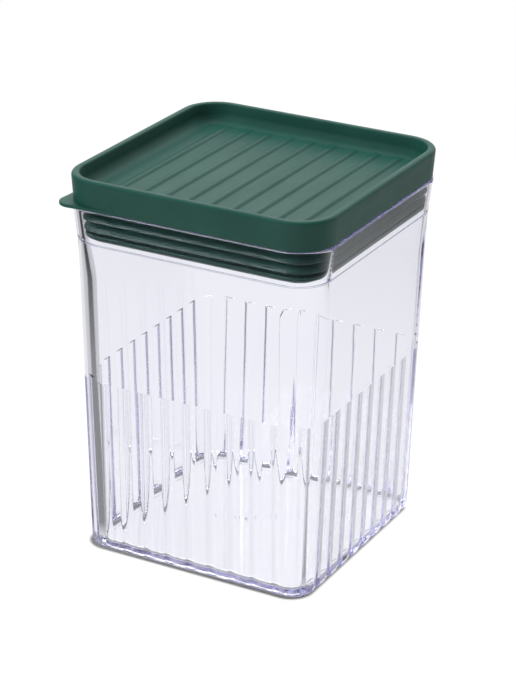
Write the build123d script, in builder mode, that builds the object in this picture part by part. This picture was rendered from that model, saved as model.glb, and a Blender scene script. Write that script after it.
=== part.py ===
"""Square clear food jar with a push-in lid and a three-lip seal, in millimetres."""
import os
from math import atan2, degrees

from build123d import *

# jar, outside
jar_height = 130.3
base_half = 44.5
base_corner = 8.5
neck_height = 12.8
wall_lean = 3.6
rim_flare = 1.5
rim_chamfer = 0.5
foot_height = 1.6
foot_inset = 0.5

# jar, inside
wall = 2.5
floor_thickness = 3.4
floor_round = 3.0

# round-bottomed grooves down the lower half of the jar, with square tops
groove_pitch = 8.6
groove_reach = 4
groove_width = 4.0
groove_depth = 0.7
groove_top = 66.0

# lid
lid_height = 10.7
lid_overhang = 0.4
lid_draft = 0.8
lid_edge_round = 1.2
lid_inner_chamfer = 0.6
lid_low_chamfer = 0.3
tray_wall = 3.0
tray_depth = 7.0
tray_draft = 0.6
tray_round = 4.5
tray_floor = 2.0
rib_width = 3.0
rib_height = 0.7

# pull tab at one corner of the lid
tab_thickness = 1.2
tab_reach = 0.9
tab_length = 24.0
tab_round = 5.0

# plug under the lid, and the seal ring round it
plug_depth = 12.7
plug_wall = 1.5
plug_bead = 0.7
bead_height = 0.8
seal_core = 1.2
seal_gap = 0.3
ring_gap = 0.1
lip_reach = 2.0
lip_droop = 1.2
lip_tip = 0.5
lip_root = 1.5
first_lip = 4.4
second_lip = 8.1
foot_lip = 2.0
foot_lip_chamfer = 0.7

# every outline has its corners on the same four centres
corner_centre = base_half - base_corner

# the wall leans out from foot to neck, and more from neck to rim
neck_z = jar_height - neck_height
neck_half = base_half + wall_lean
rim_half = neck_half + rim_flare
slope = wall_lean / (neck_z - foot_height)
flare = rim_flare / neck_height
lean_angle = degrees(atan2(wall_lean, neck_z - foot_height))
flare_angle = degrees(atan2(rim_flare, neck_height))


def outline(half):
    """Rounded square of a given half-width, centred on the axis."""
    return RectangleRounded(2 * half, 2 * half, half - corner_centre)


def wall_half(z):
    """Half-width of the outside of the jar below the neck."""
    return base_half + slope * (z - foot_height)


def mouth_half(z):
    """Half-width of the inside of the flared neck."""
    return neck_half - wall + flare * (z - neck_z)


def corner_reach(z):
    """Distance from the axis to the outside of the jar along a diagonal."""
    return corner_centre * (2 ** 0.5 - 1) + wall_half(z)


# a groove is a round cut along the wall: its radius follows from width and depth
groove_radius = (groove_width ** 2 / 4 + groove_depth ** 2) / (2 * groove_depth)
groove_offset = groove_radius - groove_depth


def groove_plane(angle, across, reach):
    """Plane across the top end of a groove: x points out of the wall, z up along it."""
    turn = Plane.XY.rotated((0, 0, angle))
    foot = turn.x_dir * reach(0) + turn.y_dir * across
    top = turn.x_dir * reach(groove_top) + turn.y_dir * across + Vector(0, 0, groove_top)
    up = (top - foot).normalized()
    away = turn.y_dir.cross(up)
    return Plane(top + away * groove_offset, x_dir=away, z_dir=up)


with BuildPart() as jar:
    with BuildSketch(Plane.XY.offset(foot_height)):
        outline(base_half)
    extrude(amount=neck_z - foot_height, taper=-lean_angle)
    with BuildSketch(Plane.XY.offset(neck_z)):
        outline(neck_half)
    extrude(amount=neck_height, taper=-flare_angle)
    with BuildSketch(Plane.XY):
        outline(base_half - foot_inset)
    extrude(amount=foot_height)

    # hollow, widening into the mouth
    with BuildSketch(Plane.XY.offset(floor_thickness)):
        outline(wall_half(floor_thickness) - wall)
    extrude(amount=neck_z - floor_thickness, taper=-lean_angle, mode=Mode.SUBTRACT)
    with BuildSketch(Plane.XY.offset(neck_z)):
        outline(neck_half - wall)
    extrude(amount=neck_height, taper=-flare_angle, mode=Mode.SUBTRACT)

    fillet(jar.edges().filter_by_position(Axis.Z, floor_thickness - 0.01, floor_thickness + 0.01), floor_round)
    chamfer(jar.edges().group_by(Axis.Z)[-1], rim_chamfer)

    # nine grooves on each side and one down each corner
    planes = []
    for quarter in range(4):
        for step in range(-groove_reach, groove_reach + 1):
            planes.append(groove_plane(90 * quarter, step * groove_pitch, wall_half))
        planes.append(groove_plane(90 * quarter + 45, 0, corner_reach))
    cuts = []
    for plane in planes:
        with BuildSketch(plane, mode=Mode.PRIVATE) as groove:
            Circle(groove_radius)
        cuts.append(extrude(groove.sketch, amount=-groove_top - foot_height, mode=Mode.PRIVATE))
    add(cuts, mode=Mode.SUBTRACT)

# heights of the lid, which sits on the rim and stands a little past it
seat_z = jar_height
lid_top = seat_z + lid_height
lid_half = rim_half + lid_overhang
seat_half = lid_half - lid_draft
tray_z = lid_top - tray_depth
tray_half = lid_half - tray_wall
tray_low_half = tray_half - tray_draft
lid_angle = degrees(atan2(lid_draft, lid_height))
tray_angle = degrees(atan2(tray_draft, tray_depth))
rib_radius = (rib_width ** 2 / 4 + rib_height ** 2) / (2 * rib_height)

# the plug leaves room in the mouth for the seal and its lips
plug_z = seat_z - plug_depth
core_half = mouth_half(plug_z) - seal_gap - lip_reach
plug_half = core_half - seal_core - ring_gap

# the tab runs from one side of the corner to the other, past the corner's arc
tab_point = lid_half + tab_reach
tab_start = lid_half - tab_length

with BuildPart() as lid:
    with BuildSketch(Plane.XY.offset(seat_z)):
        outline(seat_half)
    extrude(amount=lid_height, taper=-lid_angle)
    chamfer(lid.faces().sort_by(Axis.Z)[0].edges(), lid_low_chamfer)

    # stacking tray in the top
    with BuildSketch(Plane.XY.offset(tray_z)):
        outline(tray_low_half)
    extrude(amount=tray_depth, taper=-tray_angle, mode=Mode.SUBTRACT)
    fillet(lid.edges().filter_by_position(Axis.Z, tray_z - 0.01, tray_z + 0.01), tray_round)
    fillet(lid.faces().sort_by(Axis.Z)[-1].outer_wire().edges(), lid_edge_round)
    chamfer(lid.faces().sort_by(Axis.Z)[-1].inner_wires()[0].edges(), lid_inner_chamfer)

    # half-round ribs across the tray, in line with the grooves of the jar
    for step in range(-groove_reach, groove_reach + 1):
        with BuildSketch(Plane.XZ.offset(-tray_half)):
            with Locations((step * groove_pitch, tray_z + rib_height - rib_radius)):
                Circle(rib_radius)
            with Locations((step * groove_pitch, tray_z - rib_radius)):
                Rectangle(2 * rib_radius, 2 * rib_radius, mode=Mode.SUBTRACT)
        extrude(amount=2 * tray_half)

    # pull tab
    with BuildSketch(Plane.XY.offset(seat_z)) as tab:
        Polygon(
            (-seat_half, -tab_start),
            (-tab_point, -tab_point),
            (-tab_start, -seat_half),
            (-tab_start, -tab_start),
            align=None,
        )
        fillet(tab.vertices().sort_by_distance((-tab_point, -tab_point, seat_z))[0], tab_round)
    extrude(amount=tab_thickness)

    # hollow plug with a bead that keeps the seal ring on
    with BuildSketch(Plane.XY.offset(seat_z)):
        outline(plug_half)
    extrude(amount=-plug_depth)
    with BuildSketch(Plane.XY.offset(plug_z)):
        outline(plug_half + plug_bead)
    extrude(amount=bead_height)
    with BuildSketch(Plane.XY.offset(plug_z)):
        outline(plug_half - plug_wall)
    extrude(amount=tray_z - tray_floor - plug_z, mode=Mode.SUBTRACT)

# the ring sits between the bead and the underside of the lid
ring_low = plug_z + bead_height + ring_gap
ring_top = seat_z - seal_gap
lips = [seat_z - first_lip, seat_z - second_lip]

with BuildPart() as seal_ring:
    # thin lips that droop from the core like skirts
    for lip_z in lips:
        lip_half = mouth_half(lip_z) - seal_gap
        root_z = lip_z + lip_droop
        with BuildSketch(Plane.XY.offset(lip_z - lip_tip / 2)):
            outline(lip_half)
        extrude(amount=lip_tip)
        with BuildSketch(Plane.XY.offset(lip_z + lip_tip / 2)):
            outline(lip_half)
        with BuildSketch(Plane.XY.offset(root_z + lip_root / 2)):
            outline(core_half)
        loft(ruled=True)
        with BuildSketch(Plane.XY.offset(lip_z - lip_tip / 2)):
            outline(lip_half)
        with BuildSketch(Plane.XY.offset(root_z - lip_root / 2)):
            outline(core_half)
        loft(ruled=True, mode=Mode.SUBTRACT)

    # core with a wider lip at its foot, and the hole for the plug
    with BuildSketch(Plane.XY.offset(ring_low)):
        outline(core_half)
    extrude(amount=ring_top - ring_low)
    with BuildSketch(Plane.XY.offset(ring_low)):
        outline(mouth_half(ring_low) - seal_gap)
    extrude(amount=foot_lip)
    low_edge = seal_ring.edges().filter_by_position(Axis.Z, ring_low - 0.01, ring_low + 0.01)
    chamfer(low_edge, foot_lip_chamfer)
    with BuildSketch(Plane.XY.offset(ring_low)):
        outline(plug_half + ring_gap)
    extrude(amount=ring_top - ring_low, mode=Mode.SUBTRACT)

jar.part.label = "jar"
lid.part.label = "lid"
seal_ring.part.label = "seal_ring"
os.makedirs("parts", exist_ok=True)
export_step(jar.part, "parts/jar.step")
export_step(lid.part, "parts/lid.step")
export_step(seal_ring.part, "parts/seal_ring.step")
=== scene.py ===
"""Looks of a square food jar: clear grooved jar, green ribbed lid and lipped seal in a white studio."""
import math

import bmesh
import bpy
import numpy as np
from mathutils import Matrix, Vector


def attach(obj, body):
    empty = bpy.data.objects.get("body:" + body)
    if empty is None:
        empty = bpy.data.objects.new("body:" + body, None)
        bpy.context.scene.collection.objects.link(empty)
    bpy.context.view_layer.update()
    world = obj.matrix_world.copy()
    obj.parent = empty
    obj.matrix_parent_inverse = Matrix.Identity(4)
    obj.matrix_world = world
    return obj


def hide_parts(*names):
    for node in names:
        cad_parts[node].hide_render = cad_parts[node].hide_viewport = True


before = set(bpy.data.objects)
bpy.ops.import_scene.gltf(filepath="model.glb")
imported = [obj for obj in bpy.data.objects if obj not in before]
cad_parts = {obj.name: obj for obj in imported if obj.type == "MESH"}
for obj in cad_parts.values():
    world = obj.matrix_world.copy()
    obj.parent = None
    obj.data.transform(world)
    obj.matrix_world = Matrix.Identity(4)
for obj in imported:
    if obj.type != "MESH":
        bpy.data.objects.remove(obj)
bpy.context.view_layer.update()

# sizes of the pieces are in millimetres and become metres when a mesh is made
MM = 0.001

# the smooth lid stays this far inside the faceted solid
SKIN = 0.02

# jar, outside
JAR_HEIGHT = 130.3
BASE_HALF = 44.5
BASE_CORNER = 8.5
NECK_HEIGHT = 12.8
WALL_LEAN = 3.6
RIM_FLARE = 1.5
RIM_ROUND = 0.9
FOOT_HEIGHT = 1.2
FOOT_INSET = 1.5
FOOT_RIM = 4.0
RECESS = 0.4
SHOULDER = 0.14
EDGE_ROUND = 0.25

# jar, inside
WALL = 2.5
INNER_CORNER = 1.5
FLOOR = 2.5
FLOOR_ROUND = 1.8

# grooves of the jar, and the gate mark under it
GROOVE_PITCH = 8.6
GROOVE_REACH = 4
GROOVE_WIDTH = 4.0
GROOVE_DEPTH = 0.7
GROOVE_TOP = 66.0
GROOVE_BLEND = 0.5
GROOVE_END = 1.0
GATE_RADIUS = 2.2
GATE_DEPTH = 0.9

# lid
LID_HEIGHT = 10.7
LID_OVERHANG = 0.4
LID_DRAFT = 0.8
LID_EDGE_ROUND = 1.2
LID_INNER_ROUND = 0.8
LID_LOW_ROUND = 0.4
TRAY_WALL = 3.0
TRAY_DEPTH = 7.0
TRAY_DRAFT = 0.6
TRAY_ROUND = 4.5
TRAY_FLOOR = 2.0
RIB_WIDTH = 3.0
RIB_HEIGHT = 0.7
RIB_BLEND = 0.3
RIB_RUNOUT = 10.0

# pull tab
TAB_THICKNESS = 1.2
TAB_REACH = 0.9
TAB_LENGTH = 24.0
TAB_ROUND = 5.0
TAB_EDGE = 0.35
TAB_TURN = math.radians(225)

# plug and seal
PLUG_DEPTH = 12.7
PLUG_WALL = 1.5
PLUG_BEAD = 0.7
BEAD_HEIGHT = 0.8
SEAL_CORE = 1.2
SEAL_GAP = 0.3
RING_GAP = 0.1
LIP_REACH = 2.0
LIP_DROOP = 1.2
LIP_TIP = 0.5
LIP_ROOT = 1.5
FIRST_LIP = 4.4
SECOND_LIP = 8.1
FOOT_LIP = 2.0
FOOT_LIP_ROUND = 1.7

# points across half a groove or half a rib, as shares of its half-width
GROOVE_SHARES = (0, 0.25, 0.5, 0.7, 0.83, 0.91, 0.97, 1.03, 1.1, 1.2, 1.4)
RIB_SHARES = (0, 0.2, 0.4, 0.6, 0.8, 0.95, 1.1, 1.3)

# points to each side of a corner groove's middle, in degrees: close together in the groove, wider beside it
GROOVE_TURNS = range(16)
BESIDE_TURNS = range(20, 45, 5)

# steps of the roundings, each over a quarter turn unless its name says otherwise, and rows of the tray
EDGE_STEPS = 3
RIM_STEPS = 4
GROOVE_END_STEPS = 6
FLOOR_STEPS = 7
GATE_STEPS = 4
GATE_POINTS_ALL_ROUND = 24
TRAY_STEPS = 8
TRAY_CORNER_STEPS = 10
TRAY_ROWS = 33
LID_EDGE_STEPS = 6
LID_INNER_STEPS = 4
LID_LOW_STEPS = 3
TAB_STEPS_END_TO_END = 12
TAB_EDGE_SEGMENTS = 3
SEAL_CORNER_STEPS = 12
FOOT_LIP_STEPS = 4

# rings this far beside a rounding keep the shading of the flat next to it true
SUPPORT = EDGE_ROUND / 2

# edges that turn by more degrees than this stay sharp in the shading
SHARP_DEGREES = 40
SEAL_SHARP_DEGREES = 35

# edges whose ends differ less than this in height count as level
LEVEL = 0.01

# values that follow from the sizes
CENTRE = BASE_HALF - BASE_CORNER
NECK_Z = JAR_HEIGHT - NECK_HEIGHT
NECK_HALF = BASE_HALF + WALL_LEAN
RIM_HALF = NECK_HALF + RIM_FLARE
SLOPE = (WALL_LEAN - SHOULDER) / (NECK_Z - FOOT_HEIGHT)
FLARE = RIM_FLARE / NECK_HEIGHT
CREASE = [NECK_Z + share * SHOULDER for share in (-3, -1, 0, 2)]
GROOVE_RADIUS = (GROOVE_WIDTH ** 2 / 4 + GROOVE_DEPTH ** 2) / (2 * GROOVE_DEPTH)
GROOVE_OFFSET = GROOVE_RADIUS - GROOVE_DEPTH
LID_HALF = RIM_HALF + LID_OVERHANG
LID_TOP = JAR_HEIGHT + LID_HEIGHT
SEAT_HALF = LID_HALF - LID_DRAFT
TRAY_Z = LID_TOP - TRAY_DEPTH
TRAY_HALF = LID_HALF - TRAY_WALL
TRAY_LOW_HALF = TRAY_HALF - TRAY_DRAFT
TRAY_FLAT_HALF = TRAY_LOW_HALF - TRAY_ROUND
RIB_RADIUS = (RIB_WIDTH ** 2 / 4 + RIB_HEIGHT ** 2) / (2 * RIB_HEIGHT)


def wall_half(z):
    """Half-width of the outside of the jar: leaning wall, small shoulder, flared neck."""
    if z > NECK_Z:
        return NECK_HALF + FLARE * (z - NECK_Z)
    shoulder = max(z - NECK_Z + SHOULDER, 0)
    return BASE_HALF + SLOPE * (z - FOOT_HEIGHT) + shoulder


def mouth_half(z):
    """Half-width of the inside of the flared neck."""
    return NECK_HALF - WALL + FLARE * (z - NECK_Z)


# the plug leaves room in the mouth for the seal and its lips
PLUG_Z = JAR_HEIGHT - PLUG_DEPTH
CORE_HALF = mouth_half(PLUG_Z) - SEAL_GAP - LIP_REACH
PLUG_HALF = CORE_HALF - SEAL_CORE - RING_GAP


def soft_min(a, b, width):
    """Smaller of two values, with the corner between them rounded over a width."""
    blend = np.clip(width - np.abs(a - b), 0, None) / width
    return np.minimum(a, b) - blend ** 2 * width / 4


def soft_max(a, b, width):
    """Larger of two values, with the corner between them rounded over a width."""
    return -soft_min(-a, -b, width)


def quarter(steps):
    """Angles of a quarter turn, in equal steps."""
    return [math.pi / 2 * i / steps for i in range(steps + 1)]


def rounding(radius, steps):
    """Pairs along a quarter round: the first falls from the radius to 0, the second rises from 0 to it."""
    return [(radius * (1 - math.sin(a)), radius * (1 - math.cos(a))) for a in quarter(steps)]


class Outline:
    """Points round a rounded square: each has a place on the inner square and a direction out of it."""

    def __init__(self, anchors, normals):
        self.anchors = np.array(anchors, float)
        self.normals = np.array(normals, float)

    def points(self, half, z, centre=CENTRE):
        """Points at a half-width, a height and a place of the corners' centres."""
        flat = self.anchors * centre / CENTRE + self.normals * np.reshape(half - centre, (-1, 1))
        return np.column_stack([flat, np.broadcast_to(z, len(flat))])


def add_ring(bm, points):
    """Vertices of one ring of points."""
    return [bm.verts.new(Vector(p) * MM) for p in points]


def bridge(bm, low, high):
    """Faces between two rings with the same number of points."""
    for i in range(len(low)):
        j = (i + 1) % len(low)
        bm.faces.new((low[i], low[j], high[j], high[i]))


def bridge_all(bm, rings):
    """Faces between each ring and the next."""
    for low, high in zip(rings, rings[1:]):
        bridge(bm, low, high)


def shade(mesh, sharp_degrees):
    """Smooth shading apart from sharp edges."""
    mesh.shade_smooth()
    mesh.set_sharp_from_angle(angle=math.radians(sharp_degrees))


def finish_mesh(bm, name, sharp_degrees=SHARP_DEGREES):
    """Shaded object from a finished bmesh."""
    bmesh.ops.recalc_face_normals(bm, faces=bm.faces)
    mesh = bpy.data.meshes.new(name)
    bm.to_mesh(mesh)
    bm.free()
    shade(mesh, sharp_degrees)
    obj = bpy.data.objects.new(name, mesh)
    bpy.context.scene.collection.objects.link(obj)
    return obj


def jar_outline():
    """Outline of the jar, with points close together in the grooves.

    With it come each point's place across its groove, its turn from its corner's groove,
    and whether it lies in a corner.
    """
    inside = {side * share * GROOVE_WIDTH / 2 for share in GROOVE_SHARES for side in (-1, 1)}
    along = [-CENTRE]
    for step in range(-GROOVE_REACH, GROOVE_REACH + 1):
        along += [step * GROOVE_PITCH + x for x in inside]
        if step < GROOVE_REACH:
            along.append((step + 0.5) * GROOVE_PITCH)
    along = sorted(t for t in along if abs(t) <= CENTRE)
    degrees = [*GROOVE_TURNS, *BESIDE_TURNS]
    turns = sorted({side * math.radians(a) for a in degrees for side in (-1, 1)})
    anchors = []
    normals = []
    across = []
    turned = []
    corner = []
    for side in range(4):
        spin = Matrix.Rotation(side * math.pi / 2, 2)
        for t in along:
            anchors.append(spin @ Vector((CENTRE, t)))
            normals.append(spin @ Vector((1, 0)))
            nearest = round(t / GROOVE_PITCH) * GROOVE_PITCH
            across.append(t - nearest)
            turned.append(0)
            corner.append(False)
        for a in turns:
            anchors.append(spin @ Vector((CENTRE, CENTRE)))
            normals.append(spin @ Vector((math.cos(a + math.pi / 4), math.sin(a + math.pi / 4))))
            across.append(0)
            turned.append(a)
            corner.append(True)
    return Outline(anchors, normals), np.array(across), np.array(turned), np.array(corner)


def grooved(half, limit, z, across, turned, corner):
    """Half-widths at a height, with the grooves cut in.

    The grooves lie to the wall's half-width, and the limit is where the surface is without them.
    """
    if z >= GROOVE_TOP:
        return np.full(len(across), limit)
    reach = half - CENTRE + GROOVE_OFFSET
    sideways = np.where(corner, reach * np.sin(turned), across)
    deep = np.sqrt(np.clip(GROOVE_RADIUS ** 2 - sideways ** 2, 0, None))
    cut = np.where(corner, reach * np.cos(turned), reach) - deep
    cut = np.where(np.abs(sideways) < GROOVE_RADIUS, cut, reach + GROOVE_RADIUS)
    rise = np.clip(1 - (GROOVE_TOP - z) / GROOVE_END, 0, 1)
    shallow = half - CENTRE - GROOVE_DEPTH * math.sqrt(1 - rise ** 2)
    surface = np.full(len(across), limit - CENTRE)
    return CENTRE + soft_min(surface, np.maximum(cut, shallow), GROOVE_BLEND)


def outside_profile():
    """Heights and insets up the outside of the jar, from the edge of its foot to its neck."""
    edge = rounding(EDGE_ROUND, EDGE_STEPS)
    profile = [(rise, FOOT_INSET + inset) for inset, rise in edge]
    profile += [(EDGE_ROUND + SUPPORT, FOOT_INSET), (FOOT_HEIGHT - 2 * SUPPORT, FOOT_INSET)]
    profile += [(FOOT_HEIGHT - SUPPORT, FOOT_INSET), (FOOT_HEIGHT, FOOT_INSET - SUPPORT)]
    profile += [(FOOT_HEIGHT, FOOT_INSET - 2 * SUPPORT), (FOOT_HEIGHT, EDGE_ROUND + SUPPORT)]
    profile += [(FOOT_HEIGHT + rise, inset) for inset, rise in edge]
    spring = GROOVE_TOP - GROOVE_END
    heights = [FOOT_HEIGHT + 2 * EDGE_ROUND, spring / 3, spring * 2 / 3, spring - EDGE_ROUND]
    heights += [spring + GROOVE_END * math.sin(a) for a in quarter(GROOVE_END_STEPS)]
    heights += [GROOVE_TOP + EDGE_ROUND, GROOVE_TOP + 3 * EDGE_ROUND, (GROOVE_TOP + NECK_Z) / 2]
    return profile + [(z, 0) for z in heights + CREASE]


def gate_mark(bm):
    """Dimple in the middle of the jar's underside; returns its outer ring."""
    turns = [2 * math.pi * i / GATE_POINTS_ALL_ROUND for i in range(GATE_POINTS_ALL_ROUND)]
    rings = []
    for a in quarter(GATE_STEPS)[:-1]:
        radius = GATE_RADIUS * math.cos(a)
        z = RECESS + GATE_DEPTH * math.sin(a)
        rings.append(add_ring(bm, [(radius * math.cos(t), radius * math.sin(t), z) for t in turns]))
    bridge_all(bm, rings)
    bm.faces.new(rings[-1])
    return rings[0]


def make_jar():
    """The clear jar: grooved outside, plain inside, rounded rim and floor, gate mark under the base."""
    outline, across, turned, corner = jar_outline()
    bm = bmesh.new()

    def outer(z, inset):
        """Ring on the outside, with the grooves."""
        half = wall_half(z)
        return add_ring(bm, outline.points(grooved(half, half - inset, z, across, turned, corner), z))

    def plain(z, inset):
        """Ring without the grooves."""
        return add_ring(bm, outline.points(wall_half(z) - inset, z))

    def inner(z, inset):
        """Ring inside the body, where the corners get rounder below the neck."""
        centre = CENTRE - INNER_CORNER * min((NECK_Z - z) / NECK_HEIGHT, 1)
        return add_ring(bm, outline.points(wall_half(z) - inset, z, centre))

    outside = [outer(z, inset) for z, inset in outside_profile()]
    edge = rounding(RIM_ROUND, RIM_STEPS)
    below_rim = JAR_HEIGHT - RIM_ROUND - EDGE_ROUND
    rim = [plain(below_rim, 0)] + [plain(JAR_HEIGHT - drop, inset) for drop, inset in edge]
    rim += [plain(JAR_HEIGHT - drop, WALL - inset) for drop, inset in reversed(edge)]
    rim.append(plain(below_rim, WALL))
    inside = [plain(z, WALL) for z in reversed(CREASE)]
    inside += [inner(z, WALL) for z in (NECK_Z - NECK_HEIGHT, FLOOR + FLOOR_ROUND + EDGE_ROUND)]
    inside += [inner(FLOOR + rise, WALL + inset) for rise, inset in rounding(FLOOR_ROUND, FLOOR_STEPS)]
    inside.append(inner(FLOOR, WALL + FLOOR_ROUND + EDGE_ROUND))
    bridge_all(bm, outside + rim + inside)
    bm.faces.new(inside[-1])

    # hollow underside within the foot's rim, with the gate mark in its middle
    hollow = FOOT_INSET + FOOT_RIM
    below = [plain(0, FOOT_INSET + EDGE_ROUND + SUPPORT), plain(0, hollow - 2 * SUPPORT)]
    below += [plain(0, hollow - SUPPORT), plain(SUPPORT, hollow)]
    below += [plain(RECESS - SUPPORT, hollow), plain(RECESS, hollow + SUPPORT)]
    bridge_all(bm, [outside[0]] + below)
    loops = below[-1], gate_mark(bm)
    edges = [bm.edges.get((ring[i - 1], ring[i])) for ring in loops for i in range(len(ring))]
    bmesh.ops.triangle_fill(bm, edges=edges, use_beauty=True)
    return finish_mesh(bm, "clear_jar")


def rib_rise(x, y):
    """Height of the ribs above the tray's floor at a place: they run out softly towards the wall."""
    nearest = np.clip(np.round(x / GROOVE_PITCH), -GROOVE_REACH, GROOVE_REACH) * GROOVE_PITCH
    inside = np.clip(RIB_RADIUS ** 2 - (x - nearest) ** 2, 0, None)
    share = np.clip((TRAY_LOW_HALF - np.abs(y)) / RIB_RUNOUT, 0, 1)
    rise = soft_max(np.sqrt(inside) - RIB_RADIUS + RIB_HEIGHT, np.zeros_like(x), RIB_BLEND)
    return rise * share ** 2 * (3 - 2 * share)


def tray_columns():
    """Places across the flat of the tray, close together on the ribs and round the corners."""
    columns = []
    for step in range(-GROOVE_REACH, GROOVE_REACH + 1):
        for share in RIB_SHARES:
            columns += [step * GROOVE_PITCH + side * share * RIB_WIDTH / 2 for side in (-1, 1)]
        if step < GROOVE_REACH:
            columns.append((step + 0.5) * GROOVE_PITCH)
    columns = [x for x in columns if abs(x) < CENTRE]
    for a in quarter(TRAY_CORNER_STEPS):
        columns += [side * (CENTRE + (TRAY_FLAT_HALF - CENTRE) * math.sin(a)) for side in (-1, 1)]
    return sorted(set(round(x, 4) for x in columns))


def tray_flat(bm):
    """Ribbed flat of the tray; returns its border and an outline with the border's points."""
    columns = np.array(tray_columns())
    rows = np.sin(np.linspace(-math.pi / 2, math.pi / 2, TRAY_ROWS))
    turn = TRAY_FLAT_HALF - CENTRE
    past = np.clip(np.abs(columns) - CENTRE, 0, turn)
    reach = CENTRE + np.sqrt(turn ** 2 - past ** 2)
    grid = []
    for row in rows:
        floor = TRAY_Z + rib_rise(columns, reach * row)
        grid.append(add_ring(bm, np.column_stack([columns, reach * row, floor])))
    for low, high in zip(grid, grid[1:]):
        for i in range(len(columns) - 1):
            bm.faces.new((low[i], low[i + 1], high[i + 1], high[i]))
    border = grid[0] + [row[-1] for row in grid[1:-1]]
    border += grid[-1][::-1] + [row[0] for row in grid[-2:0:-1]]
    flat = np.array([v.co[:2] for v in border]) / MM
    anchors = np.clip(flat, -CENTRE, CENTRE)
    return border, Outline(anchors, (flat - anchors) / turn)


def lid_profile():
    """Half-widths and heights over the lid's rim, down its outer wall and round the hollow plug."""
    inner_edge = rounding(LID_INNER_ROUND, LID_INNER_STEPS)
    profile = [(TRAY_HALF + inset, LID_TOP - drop) for drop, inset in inner_edge]
    draft = LID_DRAFT / LID_HEIGHT
    edge_half = LID_HALF - draft * LID_EDGE_ROUND - SKIN
    outer_edge = rounding(LID_EDGE_ROUND, LID_EDGE_STEPS)
    profile += [(edge_half - inset, LID_TOP - drop) for inset, drop in outer_edge]
    profile.append((edge_half - draft * EDGE_ROUND, LID_TOP - LID_EDGE_ROUND - EDGE_ROUND))
    low_half = SEAT_HALF + draft * LID_LOW_ROUND
    profile.append((low_half + draft * EDGE_ROUND, JAR_HEIGHT + LID_LOW_ROUND + EDGE_ROUND))
    low_edge = rounding(LID_LOW_ROUND, LID_LOW_STEPS)
    profile += [(low_half - inset, JAR_HEIGHT + rise) for rise, inset in low_edge]
    bead_half = PLUG_HALF + PLUG_BEAD
    bead_top = PLUG_Z + BEAD_HEIGHT
    hollow = PLUG_HALF - PLUG_WALL
    roof = TRAY_Z - TRAY_FLOOR
    profile += [(PLUG_HALF + EDGE_ROUND, JAR_HEIGHT), (PLUG_HALF, JAR_HEIGHT - EDGE_ROUND)]
    profile += [(PLUG_HALF, bead_top + EDGE_ROUND), (PLUG_HALF + EDGE_ROUND, bead_top)]
    profile += [(bead_half - EDGE_ROUND, bead_top), (bead_half, bead_top - EDGE_ROUND)]
    profile += [(bead_half, PLUG_Z + EDGE_ROUND), (bead_half - EDGE_ROUND, PLUG_Z)]
    profile += [(hollow + EDGE_ROUND, PLUG_Z), (hollow, PLUG_Z + EDGE_ROUND)]
    profile += [(hollow, roof - 2 * EDGE_ROUND), (hollow - 2 * EDGE_ROUND, roof)]
    return profile


def lid_body():
    """The lid without its tab: tray with ribs, rim, outer wall, seat and hollow plug."""
    bm = bmesh.new()
    border, outline = tray_flat(bm)
    rings = [border]
    for a in quarter(TRAY_STEPS)[1:]:
        half = TRAY_FLAT_HALF + TRAY_ROUND * math.sin(a)
        points = outline.points(half, TRAY_Z + TRAY_ROUND * (1 - math.cos(a)))
        points[:, 2] = soft_max(points[:, 2], TRAY_Z + rib_rise(points[:, 0], points[:, 1]), RIB_BLEND)
        rings.append(add_ring(bm, points))
    rings += [add_ring(bm, outline.points(half, z)) for half, z in lid_profile()]
    bridge_all(bm, rings)
    bm.faces.new(rings[-1])
    return finish_mesh(bm, "green_lid")


def tab_plate():
    """The thin pull tab, a rounded point at one corner, with its root inside the lid's wall."""
    point = LID_HALF + TAB_REACH
    start = LID_HALF - TAB_LENGTH
    root = SEAT_HALF - TRAY_WALL / 2
    tip = Vector((-point, -point))
    left = (Vector((-SEAT_HALF, -start)) - tip).normalized()
    right = (Vector((-start, -SEAT_HALF)) - tip).normalized()
    half_angle = left.angle(right) / 2
    middle = tip + (left + right).normalized() * TAB_ROUND / math.sin(half_angle)
    sweep = math.pi / 2 - half_angle
    arc = []
    for i in range(TAB_STEPS_END_TO_END + 1):
        turn = TAB_TURN + sweep * (2 * i / TAB_STEPS_END_TO_END - 1)
        arc.append(middle + TAB_ROUND * Vector((math.cos(turn), math.sin(turn))))
    outline = [Vector((-SEAT_HALF, -start))] + arc + [Vector((-start, -SEAT_HALF))]
    outline += [Vector((-start, -root)), Vector((-CENTRE, -root))]
    outline += [Vector((-root, -CENTRE)), Vector((-root, -start))]
    bm = bmesh.new()
    low = add_ring(bm, [(p.x, p.y, JAR_HEIGHT) for p in outline])
    high = add_ring(bm, [(p.x, p.y, JAR_HEIGHT + TAB_THICKNESS) for p in outline])
    bridge(bm, low, high)
    bm.faces.new(high)
    bm.faces.new(low[::-1])
    bmesh.ops.recalc_face_normals(bm, faces=bm.faces)
    flats = [e for e in bm.edges if abs(e.verts[0].co.z - e.verts[1].co.z) < LEVEL * MM]
    bmesh.ops.bevel(
        bm, geom=flats, offset=TAB_EDGE * MM, segments=TAB_EDGE_SEGMENTS, profile=0.5, affect="EDGES"
    )
    return finish_mesh(bm, "lid_tab")


def make_lid():
    """The lid with its tab, as one closed mesh."""
    lid = lid_body()
    tab = tab_plate()
    union = lid.modifiers.new("tab", "BOOLEAN")
    union.operation = "UNION"
    union.object = tab
    union.solver = "EXACT"
    graph = bpy.context.evaluated_depsgraph_get()
    mesh = bpy.data.meshes.new_from_object(lid.evaluated_get(graph))
    lid.modifiers.clear()
    lid.data = mesh
    bpy.data.objects.remove(tab)
    shade(mesh, SHARP_DEGREES)
    return lid


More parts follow.
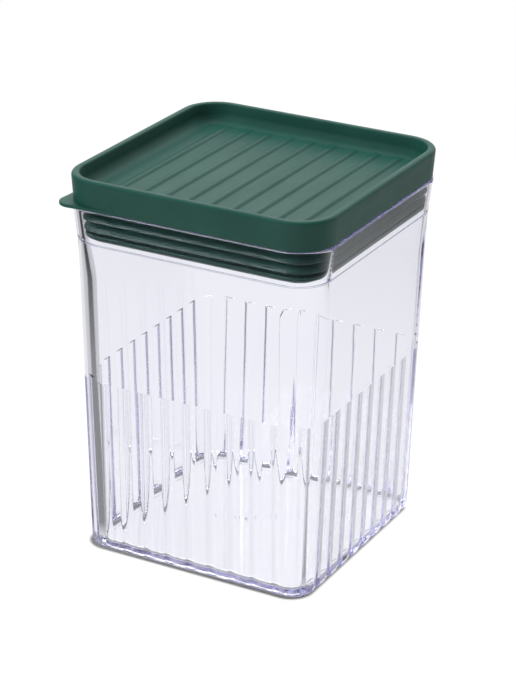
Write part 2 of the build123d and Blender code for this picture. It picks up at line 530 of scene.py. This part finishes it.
def seal_profile():
    """Half-widths and heights round the section of the seal, from its bore out and up."""
    low = PLUG_Z + BEAD_HEIGHT + RING_GAP
    top = JAR_HEIGHT - SEAL_GAP
    bore = PLUG_HALF + RING_GAP
    foot_half = mouth_half(low) - SEAL_GAP
    foot_edge = rounding(FOOT_LIP_ROUND, FOOT_LIP_STEPS)
    profile = [(bore, low)] + [(foot_half - inset, low + rise) for inset, rise in foot_edge]
    profile += [(foot_half, low + FOOT_LIP - EDGE_ROUND), (foot_half - EDGE_ROUND, low + FOOT_LIP)]
    profile.append((CORE_HALF, low + FOOT_LIP))
    for depth in (SECOND_LIP, FIRST_LIP):
        z = JAR_HEIGHT - depth
        tip = mouth_half(z) - SEAL_GAP
        profile.append((CORE_HALF, z + LIP_DROOP - LIP_ROOT / 2))
        profile += [(tip - LIP_TIP / 4, z - LIP_TIP / 2), (tip, z), (tip - LIP_TIP / 4, z + LIP_TIP / 2)]
        profile.append((CORE_HALF, z + LIP_DROOP + LIP_ROOT / 2))
    return profile + [(CORE_HALF, top), (bore, top)]


def make_seal():
    """The seal ring: a core with two thin lips and a wider rounded lip at its foot."""
    anchors = []
    normals = []
    for side in range(4):
        spin = Matrix.Rotation(side * math.pi / 2, 2)
        for a in quarter(SEAL_CORNER_STEPS):
            anchors.append(spin @ Vector((CENTRE, CENTRE)))
            normals.append(spin @ Vector((math.cos(a), math.sin(a))))
    outline = Outline(anchors, normals)
    bm = bmesh.new()
    rings = [add_ring(bm, outline.points(half, z)) for half, z in seal_profile()]
    bridge_all(bm, rings + rings[:1])
    return finish_mesh(bm, "lipped_seal", SEAL_SHARP_DEGREES)


# noise is spread over its usual range, from start to end
NOISE_START = 0.3
NOISE_END = 0.7


def new_material(name):
    """Node material with its tree and its Principled shader."""
    material = bpy.data.materials.new(name)
    material.use_nodes = True
    shader = material.node_tree.nodes["Principled BSDF"]
    return material, material.node_tree, shader


def noise(tree, scale, detail, roughness=0.5, stretch=(1, 1, 1)):
    """Noise over the object's own coordinates, in metres; returns its value socket."""
    place = tree.nodes.new("ShaderNodeTexCoord")
    mapping = tree.nodes.new("ShaderNodeMapping")
    mapping.inputs["Scale"].default_value = stretch
    texture = tree.nodes.new("ShaderNodeTexNoise")
    texture.inputs["Scale"].default_value = scale
    texture.inputs["Detail"].default_value = detail
    texture.inputs["Roughness"].default_value = roughness
    tree.links.new(place.outputs["Object"], mapping.inputs["Vector"])
    tree.links.new(mapping.outputs["Vector"], texture.inputs["Vector"])
    return texture.outputs["Fac"]


def mapped(tree, value, low, high, start=NOISE_START, end=NOISE_END):
    """A value spread over a new range, from low at start to high at end."""
    node = tree.nodes.new("ShaderNodeMapRange")
    node.inputs["From Min"].default_value = start
    node.inputs["From Max"].default_value = end
    node.inputs["To Min"].default_value = low
    node.inputs["To Max"].default_value = high
    tree.links.new(value, node.inputs["Value"])
    return node.outputs["Result"]


def ramp(tree, value, low, high):
    """Colour between two colours by a noise value."""
    node = tree.nodes.new("ShaderNodeValToRGB")
    node.color_ramp.elements[0].position = NOISE_START
    node.color_ramp.elements[1].position = NOISE_END
    node.color_ramp.elements[0].color = (*low, 1)
    node.color_ramp.elements[1].color = (*high, 1)
    tree.links.new(value, node.inputs["Fac"])
    return node.outputs["Color"]


def bump(tree, height, distance, strength, before=None):
    """Bump from a height, on top of another bump if there is one."""
    node = tree.nodes.new("ShaderNodeBump")
    node.inputs["Distance"].default_value = distance
    node.inputs["Strength"].default_value = strength
    tree.links.new(height, node.inputs["Height"])
    if before is not None:
        tree.links.new(before, node.inputs["Normal"])
    return node.outputs["Normal"]


def clear_plastic():
    """Clear plastic, faintly violet in thick sections, with soft moulding waves and a little haze."""
    material, tree, shader = new_material("clear_plastic")
    shader.inputs["Transmission Weight"].default_value = 1.0
    shader.inputs["IOR"].default_value = 1.57
    shader.inputs["Specular Tint"].default_value = (0.3, 0.3, 0.33, 1)
    drift = noise(tree, scale=40, detail=3)
    tint = ramp(tree, drift, low=(0.96, 0.965, 1.0), high=(0.975, 0.98, 1.0))
    tree.links.new(tint, shader.inputs["Base Color"])
    haze = mapped(tree, noise(tree, scale=300, detail=4), low=0.0, high=0.03)
    tree.links.new(haze, shader.inputs["Roughness"])
    waves = bump(tree, noise(tree, scale=60, detail=1), distance=0.0004, strength=0.05)
    tree.links.new(waves, shader.inputs["Normal"])
    absorb = tree.nodes.new("ShaderNodeVolumeAbsorption")
    absorb.inputs["Color"].default_value = (0.30, 0.28, 0.62, 1)
    absorb.inputs["Density"].default_value = 13.0
    tree.links.new(absorb.outputs["Volume"], tree.nodes["Material Output"].inputs["Volume"])
    return material


def green_plastic(name, low, high, rough_low, rough_high):
    """Green moulded surface: slight colour drift, fine spark grain and faint rubs."""
    material, tree, shader = new_material(name)
    tint = ramp(tree, noise(tree, scale=55, detail=4), low, high)
    tree.links.new(tint, shader.inputs["Base Color"])
    rubs = noise(tree, scale=130, detail=5, roughness=0.6, stretch=(1, 0.25, 1))
    tree.links.new(mapped(tree, rubs, rough_low, rough_high), shader.inputs["Roughness"])
    waves = bump(tree, noise(tree, scale=45, detail=1), distance=0.0004, strength=0.08)
    grain = bump(tree, noise(tree, scale=3500, detail=2), distance=0.00006, strength=0.25, before=waves)
    tree.links.new(grain, shader.inputs["Normal"])
    return material


def lid_green():
    """Satin green of the lid."""
    low, high = (0.008, 0.055, 0.042), (0.011, 0.064, 0.049)
    return green_plastic("lid_green", low, high, rough_low=0.40, rough_high=0.48)


def seal_green():
    """Darker green of the seal."""
    low, high = (0.003, 0.028, 0.023), (0.005, 0.035, 0.028)
    return green_plastic("seal_green", low, high, rough_low=0.35, rough_high=0.45)


def give(obj, material, body, node):
    """A new piece gets its material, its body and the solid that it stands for."""
    obj.data.materials.clear()
    obj.data.materials.append(material)
    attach(obj, body)
    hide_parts(node)


jar = make_jar()
lid = make_lid()
seal = make_seal()
give(jar, clear_plastic(), "jar", "jar")
give(lid, lid_green(), "lid", "lid")
give(seal, seal_green(), "lid", "seal_ring")

# light passes through the clear wall to the floor
jar.visible_shadow = False


# the room, in metres: the level of the light on matt surfaces, and directions as the view sees them
FILL_LEVEL = 0.3
VIEW_TURN = math.radians(28.46)
AHEAD = (-math.sin(VIEW_TURN), math.cos(VIEW_TURN), 0)
ASIDE = (math.cos(VIEW_TURN), math.sin(VIEW_TURN), 0)

# what the jar shows of the room: each row has a turn from the view in degrees, the level that is mirrored
# from far off, the level that is mirrored from close by, and the level that is seen through the jar
ROOM = (
    (-180, 0.05, 0.3, 1), (-90, 0.03, 0.28, 1), (-60, 0.02, 0.27, 0.65), (-50, 0.02, 0.27, 0.65),
    (-46, 0.1, 0.32, 0.65), (-42, 0.5, 0.62, 0.65), (-27, 0.6, 0.7, 0.68), (-21, 1, 1, 1),
    (30, 1, 1, 1), (55, 0.4, 0.75, 1), (95, 0.2, 0.6, 1), (120, 0.05, 0.3, 1),
)

# turns on the floor are taken from the jar's left corner, and close by fades to far off over this reach
LEFT_CORNER = (-0.047, -0.041, 0)
NEAR_REACH = (0.13, 0.25)

# least level in a mirror for light that has passed more surfaces than this
FAR_LEVEL = 0.55
FAR_PASSES = 3.5

# a depth above this means that a ray was mirrored at least once
MIRRORED_ONCE = 0.5

# level of the ceiling, and how steeply up a direction points where it begins and where it is full
CEILING = 0.7
CEILING_FADE = (0.55, 0.85)

# painted contact shadow that the camera sees round the foot, and a painted ring of shade under the foot
# that the jar shows
CONTACT_SHADOW_LEVEL = 0.06
CONTACT_SHADOW_SOFT = (0.0004, 0.0009)
CONTACT_SHADOW_SHIFT = -0.0008
SHADE_RING_LEVEL = 0.3
SHADE_RING_WIDTH = 0.0025
SHADE_RING_SOFT = 0.0003

# the floor: near the jar a share of it is lit instead of glowing, which keeps a soft shadow,
# and the jar shows it white under itself, fading over a short way
FLOOR_SIZE = 6.0
FLOOR_DROP = 0.0001
FLOOR_GLOW = 0.88
GLOW_REACH = (0.15, 0.6)
UNDER_FADE = 0.02


def math_node(tree, operation, first, second):
    """Result of one operation on two sockets or numbers."""
    node = tree.nodes.new("ShaderNodeMath")
    node.operation = operation
    for socket, value in zip(node.inputs, (first, second)):
        if isinstance(value, (int, float)):
            socket.default_value = value
        else:
            tree.links.new(value, socket)
    return node.outputs["Value"]


def light_path(tree):
    """Sockets that tell how a ray came."""
    return tree.nodes.new("ShaderNodeLightPath").outputs


def seen_share(tree):
    """1 for rays from the camera, mirrored or passed through, 0 for the rest."""
    path = light_path(tree)
    mirrored = math_node(tree, "MAXIMUM", path["Is Glossy Ray"], path["Is Transmission Ray"])
    return math_node(tree, "MAXIMUM", path["Is Camera Ray"], mirrored)


def room_level(tree, coordinates, origin, near):
    """Brightness of the room, from 0 to 1, by the direction from an origin.

    Near is 1 for a place close to the jar and 0 for one far off.
    """
    place = tree.nodes.new("ShaderNodeTexCoord")
    away = tree.nodes.new("ShaderNodeVectorMath")
    away.operation = "SUBTRACT"
    away.inputs[1].default_value = origin
    tree.links.new(place.outputs[coordinates], away.inputs[0])
    parts = []
    for direction in (ASIDE, AHEAD):
        node = tree.nodes.new("ShaderNodeVectorMath")
        node.operation = "DOT_PRODUCT"
        node.inputs[1].default_value = direction
        tree.links.new(away.outputs["Vector"], node.inputs[0])
        parts.append(node.outputs["Value"])
    turn = mapped(tree, math_node(tree, "ARCTAN2", *parts), 0, 1, -math.pi, math.pi)
    levels = tree.nodes.new("ShaderNodeValToRGB")
    # a new ramp has two stops already
    stops = levels.color_ramp.elements
    for i, (degrees, *shares) in enumerate(ROOM):
        stop = stops[i] if i < 2 else stops.new(1)
        stop.position = degrees / 360 + 0.5
        stop.color = (*shares, 1)
    tree.links.new(turn, levels.inputs["Fac"])
    split = tree.nodes.new("ShaderNodeSeparateColor")
    tree.links.new(levels.outputs["Color"], split.inputs["Color"])
    far_off, close_by, through = (split.outputs[name] for name in ("Red", "Green", "Blue"))
    path = light_path(tree)
    beyond = math_node(tree, "GREATER_THAN", path["Transmission Depth"], FAR_PASSES)
    least = math_node(tree, "MULTIPLY", beyond, FAR_LEVEL)
    nearer = math_node(tree, "SUBTRACT", close_by, far_off)
    in_mirror = math_node(tree, "ADD", far_off, math_node(tree, "MULTIPLY", nearer, near))
    in_mirror = math_node(tree, "MAXIMUM", in_mirror, least)
    mirrored = math_node(tree, "GREATER_THAN", path["Glossy Depth"], MIRRORED_ONCE)
    change = math_node(tree, "MULTIPLY", mirrored, math_node(tree, "SUBTRACT", in_mirror, through))
    return math_node(tree, "ADD", through, change)


def foot_distance(tree, shift=0):
    """How far a place on the floor lies outside the square of the corners' centres, shifted along X."""
    value = tree.nodes.new("ShaderNodeTexCoord").outputs["Object"]
    corner = CENTRE * MM
    steps = (
        ("SUBTRACT", (shift, 0, 0)), ("ABSOLUTE", (0, 0, 0)), ("SUBTRACT", (corner, corner, corner)),
        ("MAXIMUM", (0, 0, 0)), ("LENGTH", (0, 0, 0)),
    )
    for operation, constants in steps:
        node = tree.nodes.new("ShaderNodeVectorMath")
        node.operation = operation
        node.inputs[1].default_value = constants
        tree.links.new(value, node.inputs[0])
        value = node.outputs["Value" if operation == "LENGTH" else "Vector"]
    return value


def floor_level(tree):
    """Brightness of the floor where it is seen.

    The camera sees it white, with a painted contact shadow round the foot. The jar shows the room on it,
    white under the jar, and a painted ring of shade under the edge of the foot.
    """
    foot = foot_distance(tree)
    level = room_level(tree, "Object", LEFT_CORNER, mapped(tree, foot, 1, 0, *NEAR_REACH))
    outer = (BASE_HALF - FOOT_INSET - CENTRE) * MM
    under = mapped(tree, foot, 1, 0, outer, outer + UNDER_FADE)
    camera = light_path(tree)["Is Camera Ray"]
    level = math_node(tree, "MAXIMUM", level, math_node(tree, "MAXIMUM", under, camera))
    # painted shade: the floor under the edge of the foot glows less, so it shows dark through the jar
    beside = math_node(tree, "ABSOLUTE", math_node(tree, "SUBTRACT", foot, outer - SHADE_RING_WIDTH / 2), 0)
    ring = mapped(tree, beside, SHADE_RING_LEVEL, 1, SHADE_RING_WIDTH / 2, SHADE_RING_WIDTH / 2 + SHADE_RING_SOFT)
    # painted contact shadow: the glow that the camera sees is dimmed round the foot, a little more to the
    # left
    edge = outer + FOOT_INSET * MM
    shadow = foot_distance(tree, CONTACT_SHADOW_SHIFT)
    contact_shadow = mapped(tree, shadow, CONTACT_SHADOW_LEVEL, 1, edge - CONTACT_SHADOW_SOFT[0], edge + CONTACT_SHADOW_SOFT[1])
    contact_shadow = math_node(tree, "MAXIMUM", contact_shadow, math_node(tree, "SUBTRACT", 1, camera))
    return math_node(tree, "MULTIPLY", level, math_node(tree, "MINIMUM", ring, contact_shadow))


def floor_white():
    """White that keeps a soft shadow near the jar and glows where it is seen."""
    material, tree, matt = new_material("floor_white")
    matt.inputs["Base Color"].default_value = (0.95, 0.95, 0.95, 1)
    matt.inputs["Roughness"].default_value = 0.9
    matt.inputs["Specular IOR Level"].default_value = 0.0
    glow = tree.nodes.new("ShaderNodeEmission")
    tree.links.new(floor_level(tree), glow.inputs["Strength"])
    mix = tree.nodes.new("ShaderNodeMixShader")
    share = mapped(tree, foot_distance(tree), FLOOR_GLOW, 1, *GLOW_REACH)
    not_camera = math_node(tree, "SUBTRACT", 1, light_path(tree)["Is Camera Ray"])
    share = math_node(tree, "MAXIMUM", share, not_camera)
    tree.links.new(math_node(tree, "MULTIPLY", seen_share(tree), share), mix.inputs["Fac"])
    tree.links.new(matt.outputs["BSDF"], mix.inputs[1])
    tree.links.new(glow.outputs["Emission"], mix.inputs[2])
    tree.links.new(mix.outputs["Shader"], tree.nodes["Material Output"].inputs["Surface"])
    return material


def make_floor():
    """White floor, a tenth of a millimetre below the jar."""
    bm = bmesh.new()
    corners = [(x * FLOOR_SIZE, y * FLOOR_SIZE) for x, y in ((-1, -1), (1, -1), (1, 1), (-1, 1))]
    bm.faces.new([bm.verts.new((x, y, -FLOOR_DROP)) for x, y in corners])
    floor = finish_mesh(bm, "floor")
    floor.data.materials.append(floor_white())


def make_world():
    """White surroundings for the camera, the room for what the jar shows, and a softer level as light."""
    world = bpy.data.worlds.new("studio")
    bpy.context.scene.world = world
    world.use_nodes = True
    tree = world.node_tree
    background = tree.nodes["Background"]
    background.inputs["Color"].default_value = (1, 1, 1, 1)
    level = room_level(tree, "Generated", (0, 0, 0), 0)
    height = tree.nodes.new("ShaderNodeSeparateXYZ")
    tree.links.new(tree.nodes.new("ShaderNodeTexCoord").outputs["Generated"], height.inputs["Vector"])
    ceiling = mapped(tree, height.outputs["Z"], 1, CEILING, *CEILING_FADE)
    camera = light_path(tree)["Is Camera Ray"]
    level = math_node(tree, "MAXIMUM", math_node(tree, "MULTIPLY", level, ceiling), camera)
    seen = math_node(tree, "MULTIPLY", level, seen_share(tree))
    rest = math_node(tree, "MULTIPLY", math_node(tree, "SUBTRACT", 1, seen_share(tree)), FILL_LEVEL)
    tree.links.new(math_node(tree, "ADD", seen, rest), background.inputs["Strength"])


def soft_box(name, place, aim, size, watts):
    """Square studio lamp at a place, turned to an aim, that is not mirrored."""
    lamp = bpy.data.lights.new(name, "AREA")
    lamp.shape = "SQUARE"
    lamp.size = size
    lamp.energy = watts
    obj = bpy.data.objects.new(name, lamp)
    obj.location = place
    obj.rotation_euler = (Vector(aim) - Vector(place)).to_track_quat("-Z", "Y").to_euler()
    obj.visible_glossy = False
    bpy.context.scene.collection.objects.link(obj)


def make_camera():
    """Camera where the photograph was taken from, above and to the right of the jar's front."""
    rise = math.radians(23.44)
    roll = math.radians(0.71)
    target = Vector((0, 0, 0.07214))
    distance = 0.9002
    focal_pixels = 2537.0
    picture_height = 688.0
    shift_pixels = (3.97, -2.60)
    level = math.cos(rise)
    away = Vector((math.sin(VIEW_TURN) * level, -math.cos(VIEW_TURN) * level, math.sin(rise)))
    data = bpy.data.cameras.new("camera")
    data.sensor_width = 36.0
    data.lens = focal_pixels * data.sensor_width / picture_height
    data.shift_x = shift_pixels[0] / picture_height
    data.shift_y = shift_pixels[1] / picture_height
    data.clip_end = 20
    camera = bpy.data.objects.new("camera", data)
    look = (-away).to_track_quat("-Z", "Y").to_matrix() @ Matrix.Rotation(roll, 3, "Z")
    camera.matrix_world = Matrix.Translation(target + away * distance) @ look.to_4x4()
    bpy.context.scene.collection.objects.link(camera)
    bpy.context.scene.camera = camera


make_floor()
make_world()
soft_box("top_light", place=(-0.2, 0.3, 0.9), aim=(0, 0, 0.1), size=0.7, watts=10)
soft_box("front_light", place=(-0.7, -0.9, 0.8), aim=(0, 0, 0.1), size=0.8, watts=16)
soft_box("side_light", place=(0.7, 0.25, 0.06), aim=(0, 0, 0.13), size=0.3, watts=1.8)
make_camera()

scene = bpy.context.scene
scene.view_settings.view_transform = "Standard"
scene.cycles.max_bounces = 64
scene.cycles.transmission_bounces = 48
scene.cycles.glossy_bounces = 48
